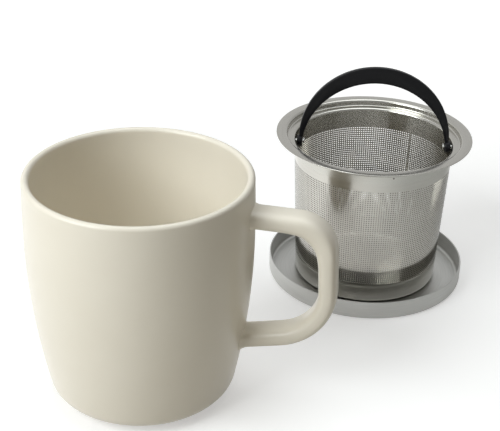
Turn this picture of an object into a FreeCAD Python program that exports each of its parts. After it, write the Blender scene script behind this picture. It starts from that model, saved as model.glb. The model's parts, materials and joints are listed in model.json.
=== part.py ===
import FreeCAD, Part
import os
from math import cos, sin, sqrt
from FreeCAD import Vector

# Tea mug with a steel infuser and a steel lid, in millimetres, +Z up.
# The origin is the centre of the mug's foot, and the mug's handle lies along +X.
# The lid lies upside down beside the mug as a coaster, and the infuser stands in it.

# Mug: radii and heights of its outline from the mouth down to the foot
mug_height = 100.0
mug_wall = 3.2
mug_floor = 6.0
mouth_radius = 46.27
mouth_flare = 0.038
belly_radius = mouth_radius + 0.45
belly_height = 0.75 * mug_height
hip_radius = mouth_radius - 6.6
hip_height = 0.082 * mug_height
heel_radius = mouth_radius - 10.37
heel_height = 3.2
foot_radius = mouth_radius - 16.9
foot_step = 0.4
foot_width = 3.5
foot_recess = 1.2
inside_heel_radius = hip_radius - mug_wall - 6.6

# Strap handle of the mug
strap_width = 12.8
strap_thickness = 7.8
strap_corner = 2.9
strap_top_height = mug_height - 13.9
strap_top_slope = -0.027
strap_bottom_height = 29.9
strap_bottom_slope = 0.196
strap_attach = mouth_radius - 2.17
strap_reach = mouth_radius + 31.83
strap_mid_height = mug_height / 2
strap_lean = -0.046
strap_top_bend = 12.6
strap_bottom_bend = 23.2

# Lid, used upside down as a coaster. It covers the mug's mouth with room for the infuser's flange.
lid_centre_x = 84.7
lid_centre_y = 115.8
lid_radius = mouth_radius + 1.73
lid_height = 9.5
lid_sheet = 0.8
lid_corner = 2.2

# Infuser: rim, wall and base are three sheet parts. The rim's step fits inside the mug's mouth.
infuser_shift = 0.8
infuser_top = 75.0
flange_play = 0.4
flange_radius = lid_radius - lid_sheet - flange_play
step_play = 1.07
step_radius = mouth_radius - mug_wall - step_play
rim_sheet = 0.5
ledge_depth = 3.0
ledge_width = 3.96
bend_radius = 0.7
collar_top = infuser_top - ledge_depth
collar_bottom = collar_top - 6.0
collar_radius = step_radius - ledge_width
wall_sheet = 0.4
wall_slope = 0.0455
base_top = 9.0
base_corner = 2.4
vent_diameter = 0.9
vent_height = infuser_top - 5.9
vent_turn = -77.6

# Plain openings of the rolled wall, which stand for its fine perforation
opening_columns = 24
opening_rows = 6
opening_size = 5.4
opening_margin = 3.2
seam_turn = 56.0

# Bail and its pins. The pins sit in the collar, below the ledge.
bail_turn = 7.0
pivot_height = infuser_top - 5.4
bail_rise = 38.9
bail_top_width = 7.8
bail_tip_width = 1.35
bail_tip_inset = 1.12
bail_thickness = 2.4
bail_edge = 0.4
eye_diameter = 5.6
eye_length = 2.6
eye_edge = 0.45
pin_diameter = 1.6
pin_play = 0.1
pin_head_diameter = 3.0
pin_head_length = 0.8
side_play = 0.35
pin_weld = 0.25


# Shapes in the XZ plane, from (radius, height) points

def point(radius, height):
    return Vector(radius, 0, height)


def straight(start, end):
    return Part.LineSegment(start, end).toShape()


def turned(edges):
    """Solid of revolution about Z from closed edges in the XZ plane."""
    face = Part.Face(Part.Wire(Part.__sortEdges__(edges)))
    solid = face.revolve(Vector(), Vector(0, 0, 1), 360)
    if solid.Volume < 0:
        solid.reverse()
    return Part.Solid(solid) if solid.ShapeType == "Shell" else solid


def tangent_arcs(points, direction):
    """Smooth chain of arcs through the points. The first arc leaves along direction."""
    edges = []
    for start, end in zip(points, points[1:]):
        normal = Vector(direction.z, 0, -direction.x).normalize()
        chord = end - start
        centre = start + normal * (chord.dot(chord) / (2 * chord.dot(normal)))
        middle = centre + ((start + end) / 2 - centre).normalize() * (start - centre).Length
        edges.append(Part.Arc(start, middle, end).toShape())
        across = end - centre
        turn = Vector(across.z, 0, -across.x)
        direction = turn if turn.dot(chord) > 0 else turn * -1
    return edges


def rounded_profile(points, radii):
    """Closed outline whose corners are rounded by the radius given for each, 0 for a sharp one."""
    arcs = []
    stops = []
    count = len(points)
    for i in range(count):
        corner = point(*points[i])
        if radii[i] == 0:
            stops.append((corner, corner))
            continue
        a = (point(*points[i - 1]) - corner).normalize()
        b = (point(*points[(i + 1) % count]) - corner).normalize()
        half = a.getAngle(b) / 2
        reach = radii[i] * cos(half) / sin(half)
        bisector = (a + b).normalize()
        middle = corner + bisector * (radii[i] / sin(half) - radii[i])
        stops.append((corner + a * reach, corner + b * reach))
        arcs.append(Part.Arc(stops[-1][0], middle, stops[-1][1]).toShape())
    runs = [straight(stops[i - 1][1], stops[i][0]) for i in range(count)]
    return arcs + runs


# Mug

def mug_outline(inset):
    """Points from the mouth down to the heel, moved inwards by inset."""
    return [
        point(mouth_radius - inset, mug_height - mug_wall / 2),
        point(belly_radius - inset, belly_height),
        point(hip_radius - inset, hip_height + inset),
    ]


def mug_outside():
    below = [point(heel_radius, heel_height), point(foot_radius, foot_step)]
    return tangent_arcs(mug_outline(0) + below, Vector(mouth_flare, 0, -1))


def mug_filled():
    """Outside of the mug without its hollow."""
    mouth = mug_outline(0)[0]
    top = point(0, mouth.z)
    bottom = point(0, foot_step)
    return turned(mug_outside() + [straight(mouth, top), straight(top, bottom),
                                   straight(bottom, point(foot_radius, foot_step))])


def mug_body():
    outer_mouth = mug_outline(0)[0]
    inner_mouth = mug_outline(mug_wall)[0]
    lip_top = point(mouth_radius - mug_wall / 2, mug_height)
    floor_edge = point(inside_heel_radius, mug_floor)
    inside = tangent_arcs(mug_outline(mug_wall) + [floor_edge], Vector(mouth_flare, 0, -1))
    foot_inner = foot_radius - foot_width
    under = [
        floor_edge,
        point(0, mug_floor),
        point(0, foot_recess),
        point(foot_inner - foot_recess, foot_recess),
        point(foot_inner, 0),
        point(foot_radius, 0),
        point(foot_radius, foot_step),
    ]
    bottom = [straight(a, b) for a, b in zip(under, under[1:])]
    lip = Part.Arc(outer_mouth, lip_top, inner_mouth).toShape()
    return turned(mug_outside() + [lip] + inside + bottom)


def strap_path():
    """Centre line of the strap in the XZ plane: two arms, an upright and two bends."""
    def on_arm(height, slope, reach):
        return point(reach, height + slope * (reach - strap_attach))

    def crossing(height, slope):
        reach = strap_reach + strap_lean * (height - slope * strap_attach - strap_mid_height)
        return on_arm(height, slope, reach / (1 - strap_lean * slope))

    # The arms start well inside the mug, whose wall trims them
    corners = [
        on_arm(strap_top_height, strap_top_slope, foot_radius),
        crossing(strap_top_height, strap_top_slope),
        crossing(strap_bottom_height, strap_bottom_slope),
        on_arm(strap_bottom_height, strap_bottom_slope, foot_radius),
    ]
    edges = []
    last = corners[0]
    for i, bend in ((1, strap_top_bend), (2, strap_bottom_bend)):
        a = (corners[i - 1] - corners[i]).normalize()
        b = (corners[i + 1] - corners[i]).normalize()
        half = a.getAngle(b) / 2
        reach = bend * cos(half) / sin(half)
        middle = corners[i] + (a + b).normalize() * (bend / sin(half) - bend)
        edges.append(straight(last, corners[i] + a * reach))
        last = corners[i] + b * reach
        edges.append(Part.Arc(corners[i] + a * reach, middle, last).toShape())
    edges.append(straight(last, corners[3]))
    return Part.Wire(edges)


def strap_section(path):
    """Rounded rectangle across the start of the path."""
    start = path.Edges[0].Vertexes[0].Point
    along = (path.Edges[0].Vertexes[1].Point - start).normalize()
    across = Vector(0, 1, 0)
    up = along.cross(across)
    half_w = strap_width / 2
    half_t = strap_thickness / 2
    flat_w = half_w - strap_corner
    flat_t = half_t - strap_corner
    k = strap_corner * sqrt(0.5)

    def at(w, t):
        return start + across * w + up * t

    edges = []
    for sw, st in ((1, 1), (-1, 1), (-1, -1), (1, -1)):
        side = at(sw * half_w, st * flat_t)
        top = at(sw * flat_w, st * half_t)
        mid = at(sw * (flat_w + k), st * (flat_t + k))
        edges.append(Part.Arc(side, mid, top).toShape())
    for st in (1, -1):
        edges.append(straight(at(flat_w, st * half_t), at(-flat_w, st * half_t)))
    for sw in (1, -1):
        edges.append(straight(at(sw * half_w, flat_t), at(sw * half_w, -flat_t)))
    return Part.Wire(Part.__sortEdges__(edges))


def mug_handle():
    path = strap_path()
    strap = path.makePipeShell([strap_section(path)], True, False)
    return strap.cut(mug_filled())


# Lid

def lid():
    points = [
        (0, 0),
        (lid_radius, 0),
        (lid_radius, lid_height),
        (lid_radius - lid_sheet, lid_height),
        (lid_radius - lid_sheet, lid_sheet),
        (0, lid_sheet),
    ]
    shell = turned(rounded_profile(points, [0, lid_corner, 0, 0, lid_corner - lid_sheet, 0]))
    shell.translate(Vector(lid_centre_x, lid_centre_y, 0))
    return shell


# Infuser, modelled about its own axis and moved to its place in the lid

def wall_radius(height):
    """Outside radius of the tapered basket at a height above the table."""
    return collar_radius - wall_slope * (collar_top - height)


def in_place(shape):
    shape.rotate(Vector(), Vector(0, 0, 1), bail_turn)
    shape.translate(Vector(lid_centre_x, lid_centre_y + infuser_shift, 0))
    return shape


def round_bar(diameter, start, end, height, turn=0):
    """Cylinder that runs outwards from the basket's axis, turned about that axis."""
    bar = Part.makeCylinder(diameter / 2, end - start, point(start, height), Vector(1, 0, 0))
    bar.rotate(Vector(), Vector(0, 0, 1), turn)
    return bar


def infuser_rim():
    foot = wall_radius(collar_bottom)
    points = [
        (flange_radius, infuser_top - rim_sheet),
        (flange_radius, infuser_top),
        (step_radius - rim_sheet, infuser_top),
        (step_radius - rim_sheet, collar_top),
        (collar_radius - rim_sheet, collar_top),
        (foot - rim_sheet, collar_bottom),
        (foot, collar_bottom),
        (collar_radius, collar_top - rim_sheet),
        (step_radius, collar_top - rim_sheet),
        (step_radius, infuser_top - rim_sheet),
    ]
    outer_bend = bend_radius + rim_sheet
    radii = [0, 0, outer_bend, bend_radius, outer_bend, 0, 0, bend_radius, outer_bend, bend_radius]
    rim = turned(rounded_profile(points, radii))
    inside = foot - 2 * rim_sheet
    outside = collar_radius + rim_sheet
    for turn in (0, 180):
        rim = rim.cut(round_bar(pin_diameter, inside, outside, pivot_height, turn))
    rim = rim.cut(round_bar(vent_diameter, inside, outside, vent_height, vent_turn))
    return in_place(rim)


def infuser_wall():
    """Rolled cone with a grid of openings. Its lap seam lies on a bar between two columns."""
    points = [
        (wall_radius(base_top), base_top),
        (wall_radius(collar_bottom), collar_bottom),
        (wall_radius(collar_bottom) - wall_sheet, collar_bottom),
        (wall_radius(base_top) - wall_sheet, base_top),
    ]
    wall = turned(rounded_profile(points, [0, 0, 0, 0]))
    low = base_top + opening_margin
    row_pitch = (collar_bottom - opening_margin - low) / opening_rows
    column_pitch = 360 / opening_columns
    openings = []
    for row in range(opening_rows):
        bottom = low + (row + 0.5) * row_pitch - opening_size / 2
        for column in range(opening_columns // 2):
            opening = Part.makeBox(3 * collar_radius, opening_size, opening_size,
                                   Vector(-1.5 * collar_radius, -opening_size / 2, bottom))
            opening.rotate(Vector(), Vector(0, 0, 1), seam_turn + (column + 0.5) * column_pitch)
            openings.append(opening)
    return in_place(wall.cut(Part.makeCompound(openings)))


def infuser_base():
    foot = wall_radius(lid_sheet)
    points = [
        (0, lid_sheet),
        (foot, lid_sheet),
        (wall_radius(base_top), base_top),
        (wall_radius(base_top) - wall_sheet, base_top),
        (foot - wall_sheet, lid_sheet + wall_sheet),
        (0, lid_sheet + wall_sheet),
    ]
    radii = [0, base_corner, 0, 0, base_corner - wall_sheet, 0]
    return in_place(turned(rounded_profile(points, radii)))


def eye_outer_face():
    """Distance of the eye's outboard face from the basket's axis."""
    lowest = pivot_height - eye_diameter / 2
    inner = wall_radius(lowest) - rim_sheet
    return sqrt(inner ** 2 - (eye_diameter / 2) ** 2) - side_play


def bail_disc(half_span, rise, thickness):
    """Upright disc whose edge is an arch of that rise and half span above the pivot axis."""
    radius = (half_span ** 2 + rise ** 2) / (2 * rise)
    centre = Vector(0, -thickness / 2, pivot_height + rise - radius)
    return Part.makeCylinder(radius, thickness, centre, Vector(0, 1, 0))


def bail_plate():
    """Crescent between two arches, closed at the pivot axis, with its long edges broken."""
    half_span = eye_outer_face() - bail_tip_inset
    disc = bail_disc(half_span, bail_rise, bail_thickness)
    hole = bail_disc(half_span - bail_tip_width, bail_rise - bail_top_width, 2 * bail_thickness)
    size = 3 * half_span
    below = Part.makeBox(size, size, size, Vector(-size / 2, -size / 2, pivot_height - size))
    crescent = disc.cut(hole).cut(below)
    flat = 0.01 * bail_edge
    long_edges = [e for e in crescent.Edges if e.BoundBox.YLength < flat and e.Length > half_span]
    return crescent.makeChamfer(bail_edge, long_edges)


def bail():
    outer = eye_outer_face()
    shape = bail_plate()
    flat = 0.01 * eye_edge
    for turn in (0, 180):
        eye = round_bar(eye_diameter, outer - eye_length, outer, pivot_height)
        eye = eye.makeFillet(eye_edge, [e for e in eye.Edges if e.BoundBox.XLength < flat])
        eye.rotate(Vector(), Vector(0, 0, 1), turn)
        shape = shape.fuse(eye)
    for turn in (0, 180):
        bore = round_bar(pin_diameter + 2 * pin_play, outer - 2 * eye_length, outer + eye_length,
                         pivot_height, turn)
        shape = shape.cut(bore)
    return in_place(shape.removeSplitter())


def bail_pin(turn):
    head_end = eye_outer_face() - eye_length - side_play
    head_start = head_end - pin_head_length
    shaft = round_bar(pin_diameter, head_end - pin_head_length / 2, wall_radius(pivot_height) + pin_weld,
                      pivot_height)
    head = round_bar(pin_head_diameter, head_start, head_end, pivot_height)
    inboard = [e for e in head.Edges if e.BoundBox.XMax < head_start + pin_head_length / 2]
    dome = 0.9 * pin_head_length
    pin = shaft.fuse(head.makeFillet(dome, inboard)).removeSplitter()
    pin.rotate(Vector(), Vector(0, 0, 1), turn)
    return in_place(pin)


parts = {
    "mug_body": mug_body(),
    "mug_handle": mug_handle(),
    "lid": lid(),
    "infuser_rim": infuser_rim(),
    "infuser_wall": infuser_wall(),
    "infuser_base": infuser_base(),
    "bail": bail(),
    "bail_pin_right": bail_pin(0),
    "bail_pin_left": bail_pin(180),
}

os.makedirs("parts", exist_ok=True)
for name, shape in parts.items():
    solids = shape.Solids
    if len(solids) == 1:
        shape = solids[0]
    shape.exportStep("parts/" + name + ".step")
    box = shape.BoundBox
    print(name, len(solids), shape.isValid(), round(shape.Volume, 1),
          [round(v, 2) for v in (box.XMin, box.YMin, box.ZMin, box.XMax, box.YMax, box.ZMax)])
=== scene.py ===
import json
from math import acos, atan2, copysign, cos, hypot, pi, radians, sin, sqrt
import bmesh
import bpy
from mathutils import Matrix, Vector

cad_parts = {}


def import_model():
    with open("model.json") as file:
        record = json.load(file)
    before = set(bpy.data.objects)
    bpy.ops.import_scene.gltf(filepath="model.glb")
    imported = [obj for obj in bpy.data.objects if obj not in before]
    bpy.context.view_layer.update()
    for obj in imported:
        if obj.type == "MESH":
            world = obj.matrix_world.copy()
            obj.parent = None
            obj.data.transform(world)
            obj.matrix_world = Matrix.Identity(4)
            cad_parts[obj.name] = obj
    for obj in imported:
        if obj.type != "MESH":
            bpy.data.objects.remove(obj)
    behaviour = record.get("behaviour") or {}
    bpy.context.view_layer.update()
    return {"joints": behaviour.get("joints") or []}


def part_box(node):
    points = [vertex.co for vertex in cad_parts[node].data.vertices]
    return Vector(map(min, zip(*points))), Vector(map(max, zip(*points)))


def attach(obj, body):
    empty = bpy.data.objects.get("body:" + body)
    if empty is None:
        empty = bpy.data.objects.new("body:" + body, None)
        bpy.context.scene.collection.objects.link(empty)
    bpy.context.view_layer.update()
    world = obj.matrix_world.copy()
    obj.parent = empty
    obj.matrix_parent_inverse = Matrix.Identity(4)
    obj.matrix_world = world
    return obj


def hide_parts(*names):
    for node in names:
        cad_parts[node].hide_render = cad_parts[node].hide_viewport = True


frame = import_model()

MM = 0.001

# Places from the frame, in millimetres
LID_LOW, LID_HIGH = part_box("lid")
LID_AXIS = ((LID_LOW.x + LID_HIGH.x) / 2 / MM, (LID_LOW.y + LID_HIGH.y) / 2 / MM)
WALL_LOW, WALL_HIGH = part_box("infuser_wall")
BASKET_AXIS = ((WALL_LOW.x + WALL_HIGH.x) / 2 / MM, (WALL_LOW.y + WALL_HIGH.y) / 2 / MM)
HINGE = next(j for j in frame["joints"] if j["name"] == "bail_swing")
PIVOT_HEIGHT = HINGE["pos_m"][2] / MM
BAIL_TURN = atan2(HINGE["axis"][1], HINGE["axis"][0])

# Mug
MUG_HEIGHT = 100.0
MUG_WALL = 3.2
MUG_FLOOR = 6.0
MOUTH_RADIUS = 46.27
MOUTH_FLARE = 0.038
BELLY = (46.72, 75.0)
HIP = (39.67, 8.2)
HEEL = (35.9, 3.2)
FOOT_RADIUS = 29.37
FOOT_STEP = 0.4
FOOT_WIDTH = 3.5
FOOT_RECESS = 1.2
INSIDE_HEEL_RADIUS = 29.87
MUG_SEGMENTS = 192
MUG_ARC_STEPS = 12

# Strap handle
STRAP_WIDTH = 12.8
STRAP_THICKNESS = 7.8
STRAP_SQUARENESS = 2.9
STRAP_SIDES = 48
STRAP_TOP_HEIGHT = 86.1
STRAP_TOP_SLOPE = -0.027
STRAP_BOTTOM_HEIGHT = 29.9
STRAP_BOTTOM_SLOPE = 0.196
STRAP_ATTACH = 44.1
STRAP_TOP_ROOT = 44.9
STRAP_BOTTOM_ROOT = 42.0
STRAP_REACH = 78.1
STRAP_MID_HEIGHT = 50.0
STRAP_LEAN = -0.046
STRAP_BENDS = (12.6, 23.2)
STRAP_STEP = 1.2
STRAP_BEND_STEPS = 8
FLARE_LENGTH = 3.6
FLARE = 0.24
TOP_BEND_FILL = 1.9
TOP_BEND_REACH = 17.0

# Lid
LID_RADIUS = 48.0
LID_HEIGHT = 9.5
LID_SHEET = 0.8
LID_CORNER = 2.2
LID_EDGE = 0.39
LID_DISC_RADIUS = 24.0
SHEET_SEGMENTS = 160

# Infuser
INFUSER_TOP = 75.0
FLANGE_RADIUS = 46.8
FLANGE_INNER = 42.0
RIM_SHEET = 0.5
RIM_EDGE = 0.22
LEDGE_DEPTH = 3.0
BEND = 0.7
COLLAR_BOTTOM = 66.0
WALL_SHEET = 0.4
WALL_FOOT_RADIUS = 34.9
WALL_FOOT_HEIGHT = 3.0
WALL_SLOPE = 0.0455
BASE_TOP = 9.0
BASE_CORNER = 2.4
BASE_CORNER_STEPS = 7
BASE_LIP = 1.5
VENT_AZIMUTH = radians(-70.6)
VENT_HEIGHT = 69.1
VENT_DIAMETER = 0.9
VENT_REACH = 3.0
VENT_SEGMENTS = 16

# Holes of the rolled wall and of the floor
HOLE_COLUMNS = 210
HOLE_LOW = 11.4
HOLE_HIGH = 62.0
HOLE_ROWS = 47
HOLE_SIDE = 0.55
SEAM_AZIMUTH = radians(63.0)
SEAM_COLUMNS = 1
FLOOR_MESH_RADIUS = 31.0
FLOOR_MESH_BORDER = 1.6
FLOOR_PITCH = 1.1

# Bail and pins
BAIL_RISE = 38.9
BAIL_TOP_WIDTH = 7.8
BAIL_TIP_WIDTH = 1.35
BAIL_TIP_INSET = 1.12
BAIL_THICKNESS = 2.4
BAIL_EDGE = 0.45
EYE_DIAMETER = 5.6
EYE_LENGTH = 2.6
PIN_DIAMETER = 1.6
PIN_HEAD_DIAMETER = 3.0
PIN_HEAD_LENGTH = 0.8
PIN_HEAD_DOME = 0.36
SIDE_PLAY = 0.35
PIN_WELD = 0.25
BAIL_SEGMENTS = 256
EYE_SEGMENTS = 64
PIN_SEGMENTS = 32
PIN_HEAD_SEGMENTS = 48
EDGE_STEPS = 3
DOME_STEPS = 5

# Meshes: merging distances in millimetres and shading angles in degrees
MERGE = 0.01
MERGE_ENDS = 0.005
SHARP_EDGE = 50
SMOOTH_GLAZE = 40
SMOOTH_STRAP = 50
SMOOTH_SHEET = 30
SMOOTH_SMALL = 35

# Steel: its two colours, the reach of its roughness, and the bump and fineness of its turned lines
LID_STEEL = {"dark": (0.47, 0.47, 0.45), "light": (0.65, 0.65, 0.63), "rough": (0.34, 0.46),
             "grain_bump": 0.35, "across": 2600.0}
RIM_STEEL = {"dark": (0.50, 0.49, 0.45), "light": (0.58, 0.57, 0.53), "rough": (0.16, 0.24),
             "grain_bump": 0.0, "across": 1400.0}
WALL_STEEL = {"dark": (0.50, 0.485, 0.445), "light": (0.57, 0.555, 0.515), "rough": (0.10, 0.18),
              "grain_bump": 0.1, "across": 900.0}
PIN_STEEL = {"dark": (0.6, 0.6, 0.58), "light": (0.68, 0.68, 0.66), "rough": (0.08, 0.14),
             "grain_bump": 0.1, "across": 3000.0}
GRAIN_AROUND = 2.2
GRAIN_DEPTH = 0.02
CLOUD_SCALE = 60.0
WEAR_REACH = (0.7, 1.3)

# Stoneware
GLAZE_DARK = (0.835, 0.78, 0.67)
GLAZE_LIGHT = (0.875, 0.825, 0.72)
GLAZE_ROUGHNESS = 0.42
GLAZE_COAT = 0.35
GLAZE_COAT_ROUGHNESS = 0.12
MOTTLE_SCALE = 45.0
RIPPLE_SCALE = 420.0
RIPPLE_BUMP = 0.25
RIPPLE_DEPTH = 0.05
CLAY = (0.62, 0.56, 0.46)
CLAY_ROUGHNESS = 0.85
GLAZE_LINE = (0.25, 0.6)

# Plastic
PLASTIC_DARK = (0.005, 0.005, 0.006)
PLASTIC_LIGHT = (0.009, 0.009, 0.011)
PLASTIC_SPECULAR = 0.22
PLASTIC_ROUGHNESS = (0.32, 0.44)
PLASTIC_GRAIN = 2600.0
PLASTIC_BUMP = 0.3
PLASTIC_DEPTH = 0.03

# Camera, at the photograph's viewing angle
CAMERA_PLACE = (113.99, -409.16, 306.57)
CAMERA_YAW = radians(9.57)
CAMERA_PITCH = 0.48830
CAMERA_ROLL = 0.02456
CAMERA_LENS = 85.61
CAMERA_SENSOR = 36.0
CAMERA_NEAR = 0.01

# Floor, room and lamps, with places and sizes in metres
FLOOR_SIZE = 6.0
FLOOR_MIDDLE = (0.0, 0.5, 0.0)
FLOOR_ROUGHNESS = 0.5
FLOOR_SPECULAR = 0.15
FLOOR_SEEN = (0.74, 0.74, 0.74)
FLOOR_BOUNCE = (0.52, 0.49, 0.43)
FLOOR_WHITE = 0.42
FLOOR_FAR_WHITE = 0.85
FLOOR_FAR_REACH = (0.25, 0.8)
# Painted glow of the floor that only glossy rays see, as a painted reflection of the lit table, and where
# along X it fades out
FLOOR_METAL_PAINTED_GLOW = (0.64, 0.0)
FLOOR_METAL_PAINTED_GLOW_REACH = (-0.02, 0.20)
ROOM_AMBIENT = (0.10, 0.09, 0.075)
ROOM_BRIGHT_SIDE = (-0.62, 0.62, -0.48)
ROOM_DARK = 0.42
ROOM_BRIGHT = 0.74
ROOM_REACH = (-0.6, 0.75)
KEY_PLACE = (-0.60, -0.60, 0.72)
KEY_TARGET = (0.04, 0.04, 0.04)
KEY_SIZE = 0.75
KEY_WATTS = 10.8
TOP_PLACE = (0.10, 0.35, 1.30)
TOP_TARGET = (0.05, 0.05, 0.0)
TOP_SIZE = 1.2
TOP_WATTS = 7.8
LAMP_COLOUR = (0.955, 0.995, 1.0)


# Modelling helpers

def clear_selection():
    if bpy.context.mode != "OBJECT":
        bpy.ops.object.mode_set(mode="OBJECT")
    bpy.ops.object.select_all(action="DESELECT")


def choose(piece):
    clear_selection()
    bpy.context.view_layer.objects.active = piece
    piece.select_set(True)


def edit(piece):
    choose(piece)
    bpy.ops.object.mode_set(mode="EDIT")


def apply_modifier(piece, kind, **values):
    choose(piece)
    modifier = piece.modifiers.new(kind.title(), kind)
    for key, value in values.items():
        setattr(modifier, key, value)
    bpy.ops.object.modifier_apply(modifier=modifier.name)


def settle(piece, name, axis=(0, 0), turn=0.0):
    """Puts a piece that was made about the origin in its place, with the place in its mesh."""
    choose(piece)
    piece.name = name
    piece.data.name = name
    piece.location = (axis[0] * MM, axis[1] * MM, 0)
    piece.rotation_euler = (0, 0, turn)
    bpy.ops.object.transform_apply(location=True, rotation=True, scale=True)
    return piece


def point_outwards(piece):
    edit(piece)
    bpy.ops.mesh.select_all(action="SELECT")
    bpy.ops.mesh.remove_doubles(threshold=MERGE * MM)
    bpy.ops.mesh.normals_make_consistent(inside=False)
    bpy.ops.object.mode_set(mode="OBJECT")


def smooth(piece, angle):
    choose(piece)
    bpy.ops.object.shade_smooth_by_angle(angle=radians(angle))


def round_edges(piece, width, steps=EDGE_STEPS):
    apply_modifier(piece, "BEVEL", width=width * MM, segments=steps, limit_method="ANGLE",
                   angle_limit=radians(SHARP_EDGE))


def arc_points(start, middle, end, steps):
    """Points of the circular arc through three (radius, height) points, ends included."""
    (ax, ay), (bx, by), (cx, cy) = start, middle, end
    d = 2 * (ax * (by - cy) + bx * (cy - ay) + cx * (ay - by))
    ux = ((ax**2 + ay**2) * (by - cy) + (bx**2 + by**2) * (cy - ay) + (cx**2 + cy**2) * (ay - by)) / d
    uy = ((ax**2 + ay**2) * (cx - bx) + (bx**2 + by**2) * (ax - cx) + (cx**2 + cy**2) * (bx - ax)) / d
    radius = hypot(ax - ux, ay - uy)
    first = atan2(ay - uy, ax - ux)
    sweep = atan2(cy - uy, cx - ux) - first
    via = atan2(by - uy, bx - ux) - first
    sweep = (sweep + 2 * pi) % (2 * pi)
    via = (via + 2 * pi) % (2 * pi)
    if via > sweep:
        sweep -= 2 * pi
    return [(ux + radius * cos(first + sweep * i / steps), uy + radius * sin(first + sweep * i / steps))
            for i in range(steps + 1)]


def tangent_arcs(points, direction, steps):
    """Smooth chain of arcs through (radius, height) points. The first arc leaves along direction."""
    chain = [points[0]]
    direction = Vector(direction)
    for start, end in zip(points, points[1:]):
        start, end = Vector(start), Vector(end)
        normal = Vector((direction.y, -direction.x)).normalized()
        chord = end - start
        centre = start + normal * (chord.dot(chord) / (2 * chord.dot(normal)))
        middle = centre + ((start + end) / 2 - centre).normalized() * (start - centre).length
        chain += arc_points(start, middle, end, steps)[1:]
        across = end - centre
        direction = Vector((across.y, -across.x))
        if direction.dot(chord) < 0:
            direction.negate()
    return chain


def rounded(points, radii, steps=5):
    """Outline through (radius, height) points with rounded corners, 0 for a sharp one."""
    outline = []
    count = len(points)
    for i in range(count):
        p = Vector(points[i])
        if radii[i] == 0:
            outline.append(tuple(p))
            continue
        a = (Vector(points[i - 1]) - p).normalized()
        b = (Vector(points[(i + 1) % count]) - p).normalized()
        half = acos(max(-1.0, min(1.0, a.dot(b)))) / 2
        bisector = (a + b).normalized()
        centre = p + bisector * (radii[i] / sin(half))
        reach = radii[i] * cos(half) / sin(half)
        middle = centre - bisector * radii[i]
        outline += arc_points(p + a * reach, middle, p + b * reach, steps)
    return outline


def turned(profile, segments, closed=False):
    """Ring by ring solid of revolution: a circle that is extruded and scaled along the profile."""
    clear_selection()
    radius, height = profile[0]
    bpy.ops.mesh.primitive_circle_add(vertices=segments, radius=radius * MM, location=(0, 0, height * MM))
    piece = bpy.context.object
    bpy.ops.object.transform_apply(location=True)
    bpy.ops.object.mode_set(mode="EDIT")
    bpy.ops.mesh.select_mode(type="EDGE")
    for next_radius, next_height in profile[1:] + (profile[:1] if closed else []):
        rise = (next_height - height) * MM
        bpy.ops.mesh.extrude_edges_move(TRANSFORM_OT_translate={"value": (0, 0, rise)})
        share = next_radius / radius
        bpy.ops.transform.resize(value=(share, share, 1), center_override=(0, 0, next_height * MM))
        radius, height = next_radius, next_height
    bpy.ops.object.mode_set(mode="OBJECT")
    return piece


def close_ends(piece):
    edit(piece)
    bpy.ops.mesh.select_mode(type="EDGE")
    bpy.ops.mesh.select_all(action="SELECT")
    bpy.ops.mesh.remove_doubles(threshold=MERGE_ENDS * MM)
    bpy.ops.mesh.select_all(action="DESELECT")
    bpy.ops.mesh.select_non_manifold(extend=False, use_wire=False, use_multi_face=False,
                                     use_non_contiguous=False, use_verts=False)
    bpy.ops.mesh.edge_face_add()
    bpy.ops.object.mode_set(mode="OBJECT")


def cylinder_x(diameter, start, end, height, segments):
    """Cylinder along X from start to end."""
    clear_selection()
    bpy.ops.mesh.primitive_cylinder_add(vertices=segments, radius=diameter / 2 * MM, depth=(end - start) * MM,
                                        location=((start + end) / 2 * MM, 0, height * MM),
                                        rotation=(0, pi / 2, 0))
    piece = bpy.context.object
    bpy.ops.object.transform_apply(location=True, rotation=True, scale=True)
    return piece


def combine(piece, tool, operation):
    apply_modifier(piece, "BOOLEAN", operation=operation, object=tool, solver="EXACT")
    bpy.data.objects.remove(tool)


# Shader groups and materials

def new_group(name, inputs, outputs):
    group = bpy.data.node_groups.new(name, "ShaderNodeTree")
    for label, kind, value in inputs:
        socket = group.interface.new_socket(name=label, in_out="INPUT", socket_type=kind)
        if value is not None:
            socket.default_value = value
    for label, kind in outputs:
        group.interface.new_socket(name=label, in_out="OUTPUT", socket_type=kind)
    return group, group.nodes.new("NodeGroupInput"), group.nodes.new("NodeGroupOutput")


def new_material(name):
    material = bpy.data.materials.new(name)
    material.use_nodes = True
    return material, material.node_tree.nodes, material.node_tree.links.new


def combined(nodes, link, kind, operation, *sources):
    """Node of that kind that works on the sources."""
    step = nodes.new(kind)
    step.operation = operation
    for source, socket in zip(sources, step.inputs):
        link(source, socket)
    return step


def split_and_flat(nodes, link, vector):
    """The three parts of a vector, and the vector with its height taken out."""
    split = nodes.new("ShaderNodeSeparateXYZ")
    link(vector, split.inputs[0])
    flat = nodes.new("ShaderNodeCombineXYZ")
    link(split.outputs["X"], flat.inputs["X"])
    link(split.outputs["Y"], flat.inputs["Y"])
    return split, flat


def noise(nodes, link, vector, scale, detail):
    texture = nodes.new("ShaderNodeTexNoise")
    texture.inputs["Scale"].default_value = scale
    texture.inputs["Detail"].default_value = detail
    link(vector, texture.inputs["Vector"])
    return texture.outputs["Fac"]


def ranged(nodes, link, source, low, high, from_low=0.3, from_high=0.7):
    step = nodes.new("ShaderNodeMapRange")
    step.inputs["From Min"].default_value = from_low
    step.inputs["From Max"].default_value = from_high
    step.inputs["To Min"].default_value = low
    step.inputs["To Max"].default_value = high
    link(source, step.inputs["Value"])
    return step.outputs["Result"]


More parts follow.
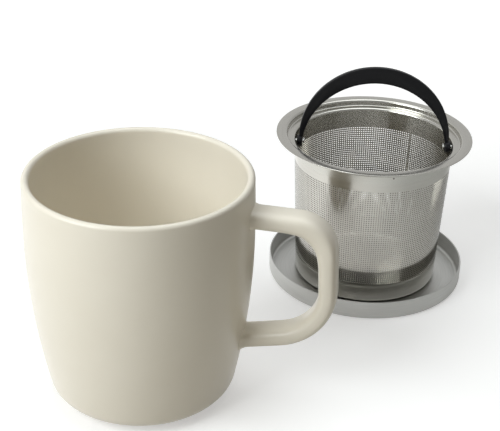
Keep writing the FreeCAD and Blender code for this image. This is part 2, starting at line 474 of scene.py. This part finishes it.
def mixed(nodes, link, factor, first, second):
    """Mix of two colours. Each one is a colour or the output of another node."""
    mix = nodes.new("ShaderNodeMix")
    mix.data_type = "RGBA"
    link(factor, mix.inputs["Factor"])
    for source, socket in ((first, mix.inputs["A"]), (second, mix.inputs["B"])):
        if isinstance(source, tuple):
            socket.default_value = (*source, 1)
        else:
            link(source, socket)
    return mix.outputs["Result"]


def bumped(nodes, link, height, strength, depth):
    bump = nodes.new("ShaderNodeBump")
    bump.inputs["Strength"].default_value = strength
    bump.inputs["Distance"].default_value = depth * MM
    link(height, bump.inputs["Height"])
    return bump.outputs["Normal"]


def turned_grain_group():
    """Fine lines that run round an axis, as on spun or turned sheet metal."""
    group, given, result = new_group(
        "turned_grain",
        [("Axis", "NodeSocketVector", (0, 0, 0)), ("Across", "NodeSocketFloat", RIM_STEEL["across"])],
        [("Grain", "NodeSocketFloat"), ("Cloud", "NodeSocketFloat")])
    nodes, link = group.nodes, group.links.new
    place = nodes.new("ShaderNodeTexCoord").outputs["Object"]
    centred = combined(nodes, link, "ShaderNodeVectorMath", "SUBTRACT", place, given.outputs["Axis"])
    split, flat = split_and_flat(nodes, link, centred.outputs[0])
    radius = combined(nodes, link, "ShaderNodeVectorMath", "LENGTH", flat.outputs[0])
    total = combined(nodes, link, "ShaderNodeMath", "ADD", radius.outputs["Value"], split.outputs["Z"])
    across = combined(nodes, link, "ShaderNodeMath", "MULTIPLY", total.outputs[0], given.outputs["Across"])
    around = combined(nodes, link, "ShaderNodeVectorMath", "NORMALIZE", flat.outputs[0])
    spread = combined(nodes, link, "ShaderNodeVectorMath", "SCALE", around.outputs[0])
    spread.inputs["Scale"].default_value = GRAIN_AROUND
    lift = nodes.new("ShaderNodeCombineXYZ")
    link(across.outputs[0], lift.inputs["Z"])
    joined = combined(nodes, link, "ShaderNodeVectorMath", "ADD", spread.outputs[0], lift.outputs[0])
    link(noise(nodes, link, joined.outputs[0], 1.0, 3.0), result.inputs["Grain"])
    link(noise(nodes, link, place, CLOUD_SCALE, 2.0), result.inputs["Cloud"])
    return group


def steel(name, grain_group, axis, dark, light, rough, grain_bump, across):
    material, nodes, link = new_material(name)
    shader = nodes["Principled BSDF"]
    shader.inputs["Metallic"].default_value = 1.0
    lines = nodes.new("ShaderNodeGroup")
    lines.node_tree = grain_group
    lines.inputs["Axis"].default_value = (axis[0] * MM, axis[1] * MM, 0)
    lines.inputs["Across"].default_value = across
    link(mixed(nodes, link, lines.outputs["Grain"], dark, light), shader.inputs["Base Color"])
    wear = combined(nodes, link, "ShaderNodeMath", "ADD", lines.outputs["Grain"], lines.outputs["Cloud"])
    link(ranged(nodes, link, wear.outputs[0], *rough, *WEAR_REACH), shader.inputs["Roughness"])
    link(bumped(nodes, link, lines.outputs["Grain"], grain_bump, GRAIN_DEPTH), shader.inputs["Normal"])
    return material


def stoneware():
    """Cream satin glaze with a faint mottle, and bare dry clay on the foot ring."""
    material, nodes, link = new_material("cream_satin_glaze")
    shader = nodes["Principled BSDF"]
    shader.inputs["Coat Weight"].default_value = GLAZE_COAT
    shader.inputs["Coat Roughness"].default_value = GLAZE_COAT_ROUGHNESS
    place = nodes.new("ShaderNodeTexCoord").outputs["Object"]
    mottle = noise(nodes, link, place, MOTTLE_SCALE, 4.0)
    ripple = noise(nodes, link, place, RIPPLE_SCALE, 2.0)
    glaze = mixed(nodes, link, mottle, GLAZE_DARK, GLAZE_LIGHT)
    split = split_and_flat(nodes, link, place)[0]
    clay_end, glaze_start = GLAZE_LINE
    glazed = ranged(nodes, link, split.outputs["Z"], 0.0, 1.0, clay_end * MM, glaze_start * MM)
    link(mixed(nodes, link, glazed, CLAY, glaze), shader.inputs["Base Color"])
    link(ranged(nodes, link, glazed, CLAY_ROUGHNESS, GLAZE_ROUGHNESS, 0.0, 1.0), shader.inputs["Roughness"])
    link(bumped(nodes, link, ripple, RIPPLE_BUMP, RIPPLE_DEPTH), shader.inputs["Normal"])
    return material


def bail_plastic():
    """Black moulded plastic with a fine matt grain."""
    material, nodes, link = new_material("black_moulded_plastic")
    shader = nodes["Principled BSDF"]
    shader.inputs["Specular IOR Level"].default_value = PLASTIC_SPECULAR
    place = nodes.new("ShaderNodeTexCoord").outputs["Object"]
    grain = noise(nodes, link, place, PLASTIC_GRAIN, 3.0)
    link(mixed(nodes, link, grain, PLASTIC_DARK, PLASTIC_LIGHT), shader.inputs["Base Color"])
    link(ranged(nodes, link, grain, *PLASTIC_ROUGHNESS), shader.inputs["Roughness"])
    link(bumped(nodes, link, grain, PLASTIC_BUMP, PLASTIC_DEPTH), shader.inputs["Normal"])
    return material


def dress(piece, material, body, slot, *nodes):
    piece.data.materials.clear()
    piece.data.materials.append(material)
    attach(piece, body)
    if nodes:
        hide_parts(*nodes)


# Mug

def mug_line(inset):
    """Points from the mouth down to the hip, moved inwards by inset."""
    return [(MOUTH_RADIUS - inset, MUG_HEIGHT - MUG_WALL / 2), (BELLY[0] - inset, BELLY[1]),
            (HIP[0] - inset, HIP[1] + inset)]


def mug_body():
    outer_mouth = mug_line(0)[0]
    inner_mouth = mug_line(MUG_WALL)[0]
    foot_inner = FOOT_RADIUS - FOOT_WIDTH
    outside = tangent_arcs(mug_line(0) + [HEEL, (FOOT_RADIUS, FOOT_STEP)], (MOUTH_FLARE, -1),
                           MUG_ARC_STEPS)
    inside = tangent_arcs(mug_line(MUG_WALL) + [(INSIDE_HEEL_RADIUS, MUG_FLOOR)], (MOUTH_FLARE, -1),
                           MUG_ARC_STEPS)
    lip = arc_points(outer_mouth, (MOUTH_RADIUS - MUG_WALL / 2, MUG_HEIGHT), inner_mouth,
                     MUG_ARC_STEPS)[1:-1]
    foot = [(foot_inner - FOOT_RECESS, FOOT_RECESS), (foot_inner, 0), (FOOT_RADIUS - FOOT_STEP / 2, 0)]
    piece = turned(foot + outside[::-1] + lip + inside, MUG_SEGMENTS)
    close_ends(piece)
    point_outwards(piece)
    smooth(piece, SMOOTH_GLAZE)
    return settle(piece, "mug_body_thrown")


def strap_stations():
    """Centre line of the strap as (x, z, direction) every small step."""
    def crossing(height, slope):
        reach = STRAP_REACH + STRAP_LEAN * (height - slope * STRAP_ATTACH - STRAP_MID_HEIGHT)
        reach = reach / (1 - STRAP_LEAN * slope)
        return Vector((reach, height + slope * (reach - STRAP_ATTACH)))

    def root(reach, height, slope):
        return Vector((reach, height + slope * (reach - STRAP_ATTACH)))

    corners = [
        root(STRAP_TOP_ROOT, STRAP_TOP_HEIGHT, STRAP_TOP_SLOPE),
        crossing(STRAP_TOP_HEIGHT, STRAP_TOP_SLOPE),
        crossing(STRAP_BOTTOM_HEIGHT, STRAP_BOTTOM_SLOPE),
        root(STRAP_BOTTOM_ROOT, STRAP_BOTTOM_HEIGHT, STRAP_BOTTOM_SLOPE),
    ]
    points = [corners[0]]
    for i in (1, 2):
        a = (corners[i - 1] - corners[i]).normalized()
        b = (corners[i + 1] - corners[i]).normalized()
        half = acos(a.dot(b)) / 2
        bend = STRAP_BENDS[i - 1]
        reach = bend * cos(half) / sin(half)
        centre = corners[i] + (a + b).normalized() * (bend / sin(half))
        middle = centre - (a + b).normalized() * bend
        steps = max(STRAP_BEND_STEPS, int(bend * (pi - 2 * half) / STRAP_STEP))
        into, out_of = corners[i] + a * reach, corners[i] + b * reach
        points += straight(points[-1], into)
        points += [Vector(p) for p in arc_points(into, middle, out_of, steps)][1:]
    points += straight(points[-1], corners[3])
    stations = []
    for i, p in enumerate(points):
        before = points[max(0, i - 1)]
        after = points[min(len(points) - 1, i + 1)]
        stations.append((p.x, p.y, atan2(after.y - before.y, after.x - before.x)))
    return stations


def straight(start, end):
    steps = max(1, int((end - start).length / STRAP_STEP))
    return [start.lerp(end, (i + 1) / steps) for i in range(steps)]


def mug_handle():
    clear_selection()
    bpy.ops.mesh.primitive_circle_add(vertices=STRAP_SIDES, radius=MM, rotation=(0, pi / 2, 0))
    piece = bpy.context.object
    bpy.ops.object.transform_apply(location=True, rotation=True, scale=True)
    bpy.ops.object.mode_set(mode="EDIT")
    bpy.ops.mesh.select_mode(type="EDGE")
    bpy.ops.mesh.select_all(action="SELECT")
    bm = bmesh.from_edit_mesh(piece.data)
    for vert in bm.verts:
        angle = atan2(vert.co.z, vert.co.y)
        across, up = cos(angle), sin(angle)
        vert.co.y = copysign(abs(across) ** (2 / STRAP_SQUARENESS), across) * STRAP_WIDTH / 2 * MM
        vert.co.z = copysign(abs(up) ** (2 / STRAP_SQUARENESS), up) * STRAP_THICKNESS / 2 * MM
    bmesh.update_edit_mesh(piece.data)
    section = [v.co.copy() for v in bm.verts]
    stations = strap_stations()
    lengths = [0.0]
    for a, b in zip(stations, stations[1:]):
        lengths.append(lengths[-1] + hypot(b[0] - a[0], b[1] - a[1]))
    bend_middle = next(at for at, (x, z, direction) in zip(lengths, stations) if direction < -pi / 4)
    for i, (x, z, direction) in enumerate(stations):
        if i > 0:
            bpy.ops.mesh.extrude_edges_move(TRANSFORM_OT_translate={"value": (0, 0, 0)})
            bm = bmesh.from_edit_mesh(piece.data)
        from_root = min(lengths[i], lengths[-1] - lengths[i])
        near = max(0.0, 1 - from_root / FLARE_LENGTH)
        swell = 1 + FLARE * near**2
        from_bend = min(1.0, abs(lengths[i] - bend_middle) / TOP_BEND_REACH)
        fill = TOP_BEND_FILL * cos(pi / 2 * from_bend) ** 2 * 2 / STRAP_THICKNESS
        place = Matrix.Translation((x * MM, 0, z * MM)) @ Matrix.Rotation(-direction, 4, "Y")
        ring = [v for v in bm.verts if v.select]
        for vert, co in zip(ring, section):
            inner = 1 + (fill if co.z < 0 else 0)
            vert.co = place @ Vector((co.x, co.y * swell, co.z * swell * inner))
        bmesh.update_edit_mesh(piece.data)
    bpy.ops.object.mode_set(mode="OBJECT")
    close_ends(piece)
    point_outwards(piece)
    smooth(piece, SMOOTH_STRAP)
    return settle(piece, "mug_strap_handle")


# Lid

def lid():
    points = [
        (LID_DISC_RADIUS, 0),
        (LID_RADIUS, 0),
        (LID_RADIUS, LID_HEIGHT),
        (LID_RADIUS - LID_SHEET, LID_HEIGHT),
        (LID_RADIUS - LID_SHEET, LID_SHEET),
        (LID_DISC_RADIUS, LID_SHEET),
    ]
    radii = [0, LID_CORNER, LID_EDGE, LID_EDGE, LID_CORNER - LID_SHEET, 0]
    piece = turned(rounded(points, radii), SHEET_SEGMENTS)
    close_ends(piece)
    point_outwards(piece)
    smooth(piece, SMOOTH_SHEET)
    return settle(piece, "lid_coaster", LID_AXIS)


# Infuser

def wall_radius(height):
    return WALL_FOOT_RADIUS + WALL_SLOPE * (height - WALL_FOOT_HEIGHT)


def infuser_rim():
    ledge = INFUSER_TOP - LEDGE_DEPTH
    collar = wall_radius(ledge)
    foot = wall_radius(COLLAR_BOTTOM)
    points = [
        (FLANGE_RADIUS, INFUSER_TOP - RIM_SHEET),
        (FLANGE_RADIUS, INFUSER_TOP),
        (FLANGE_INNER - RIM_SHEET, INFUSER_TOP),
        (FLANGE_INNER - RIM_SHEET, ledge),
        (collar - RIM_SHEET, ledge),
        (foot - RIM_SHEET, COLLAR_BOTTOM),
        (foot, COLLAR_BOTTOM),
        (collar, ledge - RIM_SHEET),
        (FLANGE_INNER, ledge - RIM_SHEET),
        (FLANGE_INNER, INFUSER_TOP - RIM_SHEET),
    ]
    outer_bend = BEND + RIM_SHEET
    radii = [RIM_EDGE, RIM_EDGE, outer_bend, BEND, outer_bend, 0, 0, BEND, outer_bend, BEND]
    piece = turned(rounded(points, radii), SHEET_SEGMENTS, closed=True)
    point_outwards(piece)
    vent = cylinder_x(VENT_DIAMETER, collar - VENT_REACH, collar + VENT_REACH, VENT_HEIGHT, VENT_SEGMENTS)
    vent.rotation_euler = (0, 0, VENT_AZIMUTH - BAIL_TURN)
    combine(piece, vent, "DIFFERENCE")
    smooth(piece, SMOOTH_SHEET)
    return settle(piece, "infuser_rim_drawn", BASKET_AXIS, BAIL_TURN)


def perforated_band(name, low, high, rows, plain_low=None, plain_high=None):
    """Part of the rolled wall: a grid of square cells, each with its hole, and a plain edge band."""
    heights = [low + (high - low) * i / rows for i in range(rows + 1)]
    if plain_low is not None:
        heights = [plain_low] + heights
    if plain_high is not None:
        heights = heights + [plain_high]
    piece = turned([(wall_radius(h), h) for h in heights], HOLE_COLUMNS)
    edit(piece)
    bpy.ops.mesh.select_mode(type="FACE")
    bpy.ops.mesh.select_all(action="SELECT")
    bpy.ops.mesh.normals_make_consistent(inside=False)
    bpy.ops.mesh.select_all(action="DESELECT")
    bm = bmesh.from_edit_mesh(piece.data)
    seam_half = SEAM_COLUMNS * pi / HOLE_COLUMNS
    for face in bm.faces:
        centre = face.calc_center_median()
        height = centre.z / MM
        azimuth = atan2(centre.y, centre.x)
        if low < height < high and abs(azimuth - SEAM_AZIMUTH + BAIL_TURN) > seam_half:
            face.select_set(True)
    bmesh.update_edit_mesh(piece.data)
    pitch = (high - low) / rows
    bpy.ops.mesh.inset(thickness=(pitch - HOLE_SIDE) / 2 * MM, use_individual=True)
    bpy.ops.mesh.delete(type="FACE")
    bpy.ops.object.mode_set(mode="OBJECT")
    apply_modifier(piece, "SOLIDIFY", thickness=WALL_SHEET * MM, offset=-1.0)
    smooth(piece, SMOOTH_SHEET)
    return settle(piece, name, BASKET_AXIS, BAIL_TURN)


def infuser_cup():
    """Drawn foot of the basket: an upright band, a round corner and a lip under the floor mesh."""
    foot = wall_radius(LID_SHEET)
    lip_radius = FLOOR_MESH_RADIUS - BASE_LIP
    points = [
        (lip_radius, LID_SHEET),
        (foot, LID_SHEET),
        (wall_radius(BASE_TOP), BASE_TOP),
        (wall_radius(BASE_TOP) - WALL_SHEET, BASE_TOP),
        (foot - WALL_SHEET, LID_SHEET + WALL_SHEET),
        (lip_radius, LID_SHEET + WALL_SHEET),
    ]
    radii = [0, BASE_CORNER, 0, 0, BASE_CORNER - WALL_SHEET, 0]
    piece = turned(rounded(points, radii, BASE_CORNER_STEPS), SHEET_SEGMENTS, closed=True)
    point_outwards(piece)
    smooth(piece, SMOOTH_SHEET)
    return settle(piece, "infuser_cup", BASKET_AXIS, BAIL_TURN)


def floor_mesh():
    """Perforated floor disc that lies on the lip of the cup."""
    count = 2 * int(FLOOR_MESH_RADIUS / FLOOR_PITCH) + 2
    clear_selection()
    bpy.ops.mesh.primitive_grid_add(x_subdivisions=count, y_subdivisions=count,
                                    size=count * FLOOR_PITCH * MM,
                                    location=(0, 0, (LID_SHEET + 2 * WALL_SHEET) * MM))
    piece = bpy.context.object
    bpy.ops.object.transform_apply(location=True)
    edit(piece)
    bpy.ops.mesh.select_mode(type="FACE")
    bpy.ops.mesh.select_all(action="DESELECT")
    bm = bmesh.from_edit_mesh(piece.data)
    for face in bm.faces:
        centre = face.calc_center_median()
        face.select_set(hypot(centre.x, centre.y) > FLOOR_MESH_RADIUS * MM)
    bmesh.update_edit_mesh(piece.data)
    bpy.ops.mesh.delete(type="FACE")
    bm = bmesh.from_edit_mesh(piece.data)
    for vert in bm.verts:
        if vert.is_boundary:
            share = FLOOR_MESH_RADIUS * MM / hypot(vert.co.x, vert.co.y)
            vert.co.x *= share
            vert.co.y *= share
    for face in bm.faces:
        centre = face.calc_center_median()
        face.select_set(hypot(centre.x, centre.y) < (FLOOR_MESH_RADIUS - FLOOR_MESH_BORDER) * MM)
    bmesh.update_edit_mesh(piece.data)
    bpy.ops.mesh.inset(thickness=(FLOOR_PITCH - HOLE_SIDE) / 2 * MM, use_individual=True)
    bpy.ops.mesh.delete(type="FACE")
    bpy.ops.object.mode_set(mode="OBJECT")
    apply_modifier(piece, "SOLIDIFY", thickness=WALL_SHEET * MM, offset=-1.0)
    smooth(piece, SMOOTH_SHEET)
    return settle(piece, "infuser_floor_mesh", BASKET_AXIS, BAIL_TURN)


# Bail and pins

def eye_outer_face():
    """Distance from the basket's axis to the outer face of an eye, clear of the collar."""
    lowest = PIVOT_HEIGHT - EYE_DIAMETER / 2
    inner = wall_radius(lowest) - RIM_SHEET
    return sqrt(inner**2 - (EYE_DIAMETER / 2) ** 2) - SIDE_PLAY


def upright_disc(half_span, rise, thickness):
    """Disc whose edge is an arch of that rise and half span above the pivot axis."""
    radius = (half_span**2 + rise**2) / (2 * rise)
    clear_selection()
    bpy.ops.mesh.primitive_cylinder_add(vertices=BAIL_SEGMENTS, radius=radius * MM, depth=thickness * MM,
                                        location=(0, 0, (PIVOT_HEIGHT + rise - radius) * MM),
                                        rotation=(pi / 2, 0, 0))
    piece = bpy.context.object
    bpy.ops.object.transform_apply(location=True, rotation=True, scale=True)
    return piece


def bail():
    """Crescent between two arches, cut off at the pivot axis, with a round eye at each end."""
    half_span = eye_outer_face() - BAIL_TIP_INSET
    piece = upright_disc(half_span, BAIL_RISE, BAIL_THICKNESS)
    inner = upright_disc(half_span - BAIL_TIP_WIDTH, BAIL_RISE - BAIL_TOP_WIDTH, 3 * BAIL_THICKNESS)
    combine(piece, inner, "DIFFERENCE")
    edit(piece)
    bpy.ops.mesh.select_all(action="SELECT")
    bpy.ops.mesh.bisect(plane_co=(0, 0, PIVOT_HEIGHT * MM), plane_no=(0, 0, 1), use_fill=True,
                        clear_inner=True)
    bpy.ops.object.mode_set(mode="OBJECT")
    round_edges(piece, BAIL_EDGE)
    outer = eye_outer_face()
    for side in (1, -1):
        ends = sorted((side * outer, side * (outer - EYE_LENGTH)))
        eye = cylinder_x(EYE_DIAMETER, ends[0], ends[1], PIVOT_HEIGHT, EYE_SEGMENTS)
        round_edges(eye, BAIL_EDGE)
        combine(piece, eye, "UNION")
    smooth(piece, SMOOTH_SMALL)
    return settle(piece, "bail_arch", BASKET_AXIS, BAIL_TURN)


def pin(side, name):
    """Pin along X that is welded in the collar, with a domed head inside the eye."""
    head_end = eye_outer_face() - EYE_LENGTH - SIDE_PLAY
    piece = cylinder_x(PIN_DIAMETER, head_end - PIN_HEAD_LENGTH / 2, wall_radius(PIVOT_HEIGHT) + PIN_WELD,
                       PIVOT_HEIGHT, PIN_SEGMENTS)
    head = cylinder_x(PIN_HEAD_DIAMETER, head_end - PIN_HEAD_LENGTH, head_end, PIVOT_HEIGHT,
                      PIN_HEAD_SEGMENTS)
    round_edges(head, PIN_HEAD_DOME, DOME_STEPS)
    combine(piece, head, "UNION")
    smooth(piece, SMOOTH_SMALL)
    return settle(piece, name, BASKET_AXIS, BAIL_TURN + (0 if side > 0 else pi))


# Stage: floor, light and camera

def seen_by(nodes, link, *rays):
    """1 for the given kinds of ray and 0 for all others."""
    path = nodes.new("ShaderNodeLightPath")
    total = path.outputs[rays[0]]
    for ray in rays[1:]:
        total = combined(nodes, link, "ShaderNodeMath", "MAXIMUM", total, path.outputs[ray]).outputs[0]
    return total


def floor_material():
    """White floor that keeps the shadow. Metal sees a painted glow on it, brighter towards the lamp, as the
    lit table was.

    Rays that light the object see a warmer and greyer one.
    """
    material, nodes, link = new_material("white_table")
    shader = nodes["Principled BSDF"]
    shader.inputs["Roughness"].default_value = FLOOR_ROUGHNESS
    shader.inputs["Specular IOR Level"].default_value = FLOOR_SPECULAR
    shader.inputs["Emission Color"].default_value = (1, 1, 1, 1)
    seen = seen_by(nodes, link, "Is Camera Ray", "Is Glossy Ray", "Is Transmission Ray")
    link(mixed(nodes, link, seen, FLOOR_BOUNCE, FLOOR_SEEN), shader.inputs["Base Color"])
    place = nodes.new("ShaderNodeTexCoord").outputs["Object"]
    split, flat = split_and_flat(nodes, link, place)
    reach = combined(nodes, link, "ShaderNodeVectorMath", "LENGTH", flat.outputs[0])
    # Painted glow: emission that only glossy rays see, strongest on the left towards the lamp, so the steel
    # shows a painted reflection of the lit table
    painted_glow_in_metal = nodes.new("ShaderNodeMix")
    painted_glow_in_metal.inputs["A"].default_value = 0.0
    link(seen_by(nodes, link, "Is Glossy Ray"), painted_glow_in_metal.inputs["Factor"])
    link(ranged(nodes, link, split.outputs["X"], *FLOOR_METAL_PAINTED_GLOW, *FLOOR_METAL_PAINTED_GLOW_REACH),
         painted_glow_in_metal.inputs["B"])
    white = nodes.new("ShaderNodeMix")
    link(seen_by(nodes, link, "Is Camera Ray", "Is Transmission Ray"), white.inputs["Factor"])
    link(painted_glow_in_metal.outputs["Result"], white.inputs["A"])
    link(ranged(nodes, link, reach.outputs["Value"], FLOOR_WHITE, FLOOR_FAR_WHITE, *FLOOR_FAR_REACH),
         white.inputs["B"])
    link(white.outputs["Result"], shader.inputs["Emission Strength"])
    return material


def world():
    """White room for the camera. Metal sees it white low down and behind, darker above and in front."""
    made = bpy.data.worlds.new("white_room")
    bpy.context.scene.world = made
    made.use_nodes = True
    nodes, link = made.node_tree.nodes, made.node_tree.links.new
    place = nodes.new("ShaderNodeTexCoord").outputs["Generated"]
    towards = combined(nodes, link, "ShaderNodeVectorMath", "DOT_PRODUCT", place)
    towards.inputs[1].default_value = ROOM_BRIGHT_SIDE
    room = ranged(nodes, link, towards.outputs["Value"], ROOM_DARK, ROOM_BRIGHT, *ROOM_REACH)
    hidden = mixed(nodes, link, seen_by(nodes, link, "Is Glossy Ray"), ROOM_AMBIENT, room)
    seen = seen_by(nodes, link, "Is Camera Ray", "Is Transmission Ray")
    link(mixed(nodes, link, seen, hidden, (1, 1, 1)), nodes["Background"].inputs["Color"])


def softbox(name, place, target, size, watts):
    lamp = bpy.data.lights.new(name, "AREA")
    lamp.shape = "SQUARE"
    lamp.size = size
    lamp.energy = watts
    lamp.color = LAMP_COLOUR
    holder = bpy.data.objects.new(name, lamp)
    bpy.context.scene.collection.objects.link(holder)
    holder.location = place
    holder.rotation_euler = (Vector(target) - Vector(place)).to_track_quat("-Z", "Y").to_euler()


def stage():
    clear_selection()
    bpy.ops.mesh.primitive_plane_add(size=FLOOR_SIZE, location=FLOOR_MIDDLE)
    floor = bpy.context.object
    floor.name = "floor"
    bpy.ops.object.transform_apply(location=True)
    floor.data.materials.append(floor_material())
    world()
    softbox("key_left", KEY_PLACE, KEY_TARGET, KEY_SIZE, KEY_WATTS)
    softbox("top_fill", TOP_PLACE, TOP_TARGET, TOP_SIZE, TOP_WATTS)


def camera():
    view = bpy.data.cameras.new("photo_view")
    view.sensor_width = CAMERA_SENSOR
    view.lens = CAMERA_LENS
    view.clip_start = CAMERA_NEAR
    holder = bpy.data.objects.new("photo_view", view)
    bpy.context.scene.collection.objects.link(holder)
    cp, sp = cos(CAMERA_PITCH), sin(CAMERA_PITCH)
    cy, sy = cos(CAMERA_YAW), sin(CAMERA_YAW)
    forward = Vector((-sy * cp, cy * cp, -sp))
    right = Vector((cy, sy, 0))
    up = right.cross(forward)
    cr, sr = cos(CAMERA_ROLL), sin(CAMERA_ROLL)
    x_axis = right * cr + up * sr
    y_axis = up * cr - right * sr
    turn = Matrix((x_axis, y_axis, -forward)).transposed()
    holder.matrix_world = Matrix.Translation(Vector(CAMERA_PLACE) * MM) @ turn.to_4x4()
    bpy.context.scene.camera = holder


# Assembly

grain_lines = turned_grain_group()
glaze = stoneware()
lid_steel = steel("lid_satin_steel", grain_lines, LID_AXIS, **LID_STEEL)
rim_steel = steel("rim_satin_steel", grain_lines, BASKET_AXIS, **RIM_STEEL)
wall_steel = steel("wall_bright_steel", grain_lines, BASKET_AXIS, **WALL_STEEL)
pin_steel = steel("pin_bright_steel", grain_lines, BASKET_AXIS, **PIN_STEEL)
plastic = bail_plastic()

dress(mug_body(), glaze, "mug", "stoneware", "mug_body")
dress(mug_handle(), glaze, "mug", "stoneware", "mug_handle")
dress(lid(), lid_steel, "lid", "lid_steel", "lid")
dress(infuser_rim(), rim_steel, "infuser", "infuser_steel", "infuser_rim")
rows_low = HOLE_ROWS // 2
split_height = HOLE_LOW + (HOLE_HIGH - HOLE_LOW) * rows_low / HOLE_ROWS
lower = perforated_band("infuser_wall_lower", HOLE_LOW, split_height, rows_low, plain_low=BASE_TOP)
upper = perforated_band("infuser_wall_upper", split_height, HOLE_HIGH, HOLE_ROWS - rows_low,
                        plain_high=COLLAR_BOTTOM)
dress(lower, wall_steel, "infuser", "infuser_steel", "infuser_wall")
dress(upper, wall_steel, "infuser", "infuser_steel", "infuser_wall")
dress(infuser_cup(), wall_steel, "infuser", "infuser_steel", "infuser_base")
dress(floor_mesh(), wall_steel, "infuser", "infuser_steel", "infuser_base")
dress(bail(), plastic, "bail", "bail_plastic", "bail")
dress(pin(1, "bail_pin_right_rivet"), pin_steel, "infuser", "pin_steel", "bail_pin_right")
dress(pin(-1, "bail_pin_left_rivet"), pin_steel, "infuser", "pin_steel", "bail_pin_left")

stage()
camera()
bpy.context.scene.view_settings.view_transform = "Standard"
